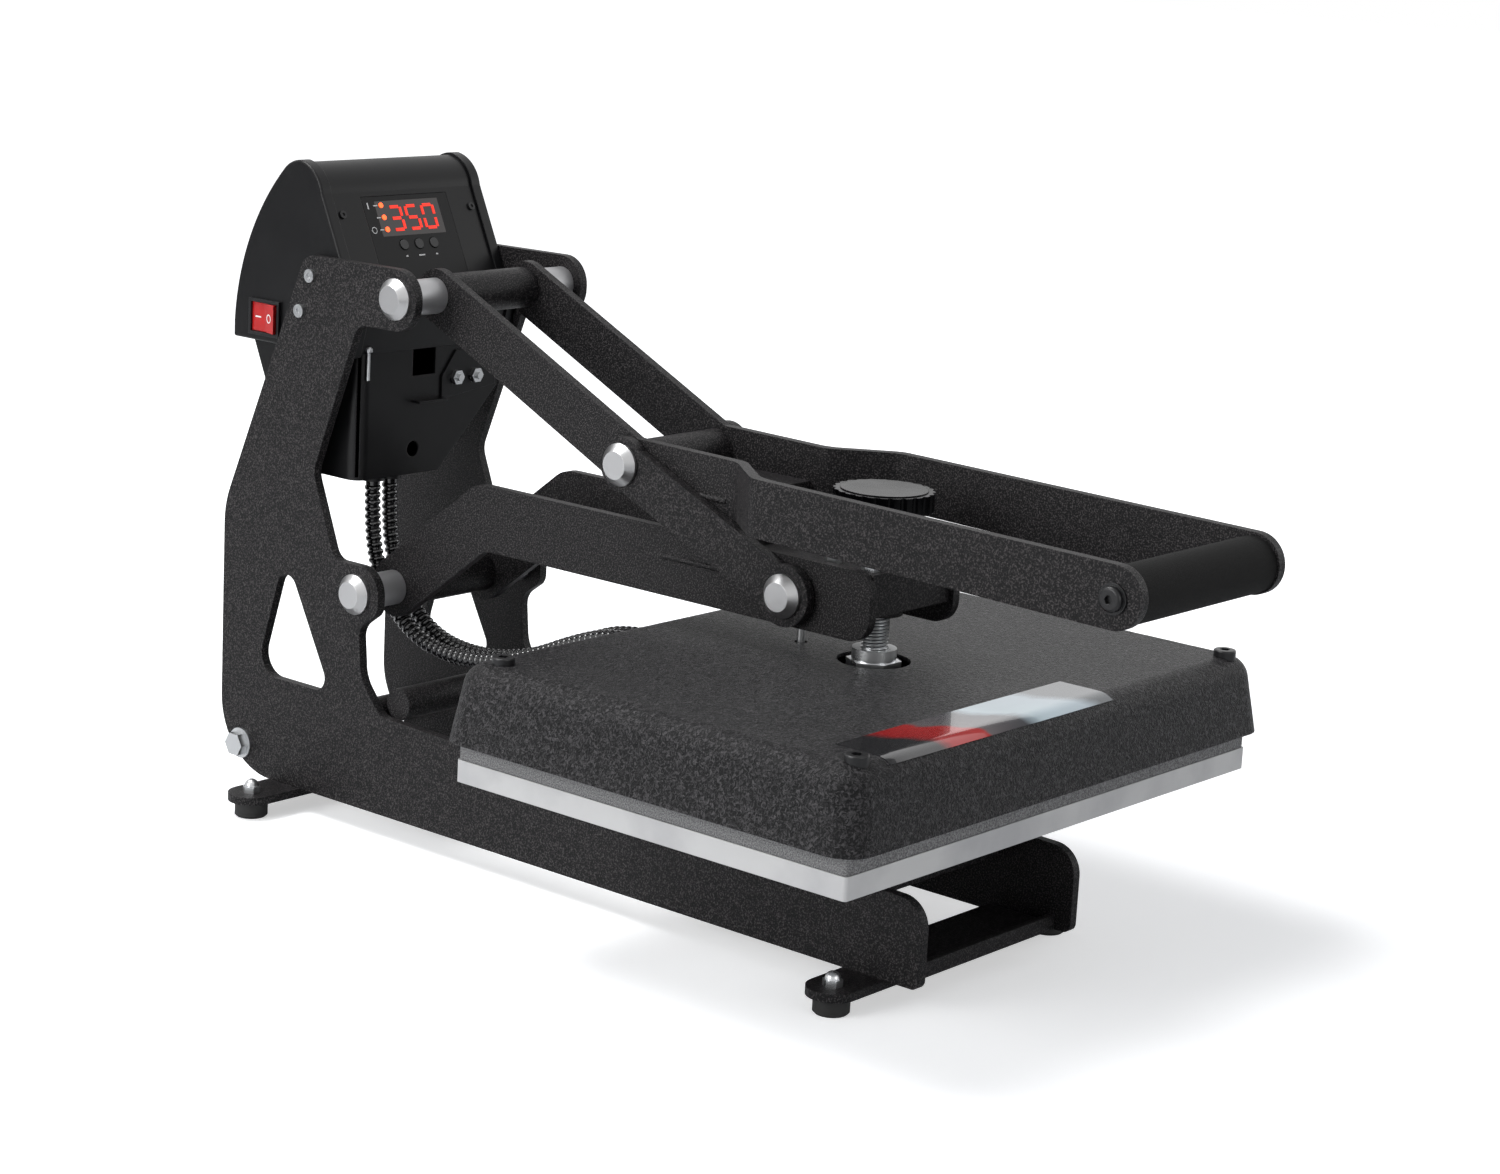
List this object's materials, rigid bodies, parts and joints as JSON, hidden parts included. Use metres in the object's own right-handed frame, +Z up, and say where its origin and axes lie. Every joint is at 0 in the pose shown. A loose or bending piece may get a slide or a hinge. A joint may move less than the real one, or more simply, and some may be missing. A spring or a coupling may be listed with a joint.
{
  "type": "clamshell heat press",
  "caption": "Clamshell heat press with a heated upper platen on a hinged arm, toggle handle, pressure knob, rear control housing and a padded lower platen.",
  "frame": {"origin": "middle of the footprint at the floor", "axes": "+Z up, -Y towards the operator and the grip, +X to the operator's right"},
  "size_m": [0.398, 0.7006, 0.4165],
  "materials": {
    "black_powder": "fine textured black powder coat",
    "black_satin": "smooth satin black paint",
    "black_moulded": "moulded matt black plastic",
    "zinc": "bright zinc plated, turned",
    "raw_aluminium": "raw machined plate",
    "silicone": "speckled gray silicone sponge",
    "black_rubber": "matt moulded rubber",
    "panel_film": "dark printed film",
    "window_film": "dark red tinted window",
    "red_light": "lit red segments",
    "grey_button": "soft touch gray key",
    "red_rocker": "glossy red plastic",
    "black_screw": "black oxide",
    "green_board": "circuit board",
    "hose_grey": "corrugated black conduit",
    "insulation": "mineral fibre board",
    "steel": "machined steel"
  },
  "bodies": {
    "frame": {"side_plate_left": "black_powder", "side_plate_right": "black_powder", "foot_bars": "black_powder", "rubber_feet": "black_rubber", "foot_bolts": "zinc", "front_cross_plate": "black_powder", "tie_tubes": "black_powder", "tie_bolts": "zinc", "platen_supports": "black_powder", "lower_platen": "raw_aluminium", "silicone_pad": "silicone", "axles": "steel", "axle_caps": "zinc", "axle_spacers": "zinc", "housing_shell": "black_satin", "housing_cheeks": "black_moulded", "display_panel": "panel_film", "display_window": "window_film", "display_digits": "red_light", "indicator_lamps": "red_light", "controller_board": "green_board", "panel_screws": "black_screw", "switch_bezel": "black_moulded", "plate_screws": "black_screw", "power_inlet": "black_moulded", "lower_box": "black_satin", "box_bracket": "black_satin", "bracket_nuts": "zinc", "hose_glands": "black_moulded", "heater_hose_left": "hose_grey", "heater_hose_right": "hose_grey"},
    "arm": {"arm_plate_left": "black_powder", "arm_plate_right": "black_powder", "arm_gusset": "black_powder", "arm_tubes": "black_powder", "front_channel": "black_powder", "channel_nuts": "zinc"},
    "head": {"heater_cover": "black_powder", "heat_platen": "raw_aluminium", "insulation_board": "insulation", "cover_screws": "black_screw", "cover_posts": "raw_aluminium", "adjuster_collar": "zinc", "guide_pin": "steel"},
    "adjuster": {"adjuster_screw": "steel", "pressure_knob": "black_moulded", "knob_disc": "black_satin"},
    "handle": {"handle_plate_left": "black_powder", "handle_plate_right": "black_powder", "handle_cross_plate": "black_powder", "handle_tubes": "black_powder", "grip": "black_rubber", "grip_bolts": "black_screw", "knee_pins": "zinc"},
    "link": {"links": "black_powder", "link_pins": "zinc"},
    "key_down": {"button_down": "grey_button"},
    "key_set": {"button_set": "grey_button"},
    "key_up": {"button_up": "grey_button"},
    "rocker": {"power_rocker": "red_rocker"}
  },
  "joints": [
    {"name": "arm_lift", "type": "hinge", "parent": "frame", "child": "arm", "pos_m": [0, 0.22225, 0.153], "axis": [-1, 0, 0], "range_deg": [0, 45], "deforming": ["heater_hose_left", "heater_hose_right"]},
    {"name": "head_height", "type": "slide", "parent": "arm", "child": "head", "axis": [0, 0, 1], "range_m": [0, 0.007]},
    {"name": "screw_turn", "type": "hinge", "parent": "head", "child": "adjuster", "pos_m": [0, -0.12875, 0.2], "axis": [0, 0, 1], "range_deg": [0, 1260]},
    {"name": "handle_lift", "type": "hinge", "parent": "frame", "child": "handle", "pos_m": [0, 0.19325, 0.342], "axis": [-1, 0, 0], "range_deg": [0, 96.73]},
    {"name": "link_swing", "type": "hinge", "parent": "handle", "child": "link", "pos_m": [0, 0.02825, 0.264], "axis": [-1, 0, 0], "range_deg": [-116.91, 0]},
    {"name": "rocker_switch", "type": "hinge", "parent": "frame", "child": "rocker", "pos_m": [-0.0693, 0.31725, 0.314], "axis": [0, 0, 1], "range_deg": [0, 16]},
    {"name": "press_down", "type": "slide", "parent": "frame", "child": "key_down", "axis": [0, 0.9038, -0.4279], "range_m": [0, 0.0008], "stiffness_N_per_m": 800, "springref_m": -0.0004},
    {"name": "press_set", "type": "slide", "parent": "frame", "child": "key_set", "axis": [0, 0.9038, -0.4279], "range_m": [0, 0.0008], "stiffness_N_per_m": 800, "springref_m": -0.0004},
    {"name": "press_up", "type": "slide", "parent": "frame", "child": "key_up", "axis": [0, 0.9038, -0.4279], "range_m": [0, 0.0008], "stiffness_N_per_m": 800, "springref_m": -0.0004}
  ],
  "couplings": [
    {"joint": "handle_lift", "follows": "arm_lift", "ratio": 2.1494},
    {"joint": "link_swing", "follows": "arm_lift", "ratio": -2.5977},
    {"joint": "screw_turn", "follows": "head_height", "rad_per_m": 3141.6}
  ]
}
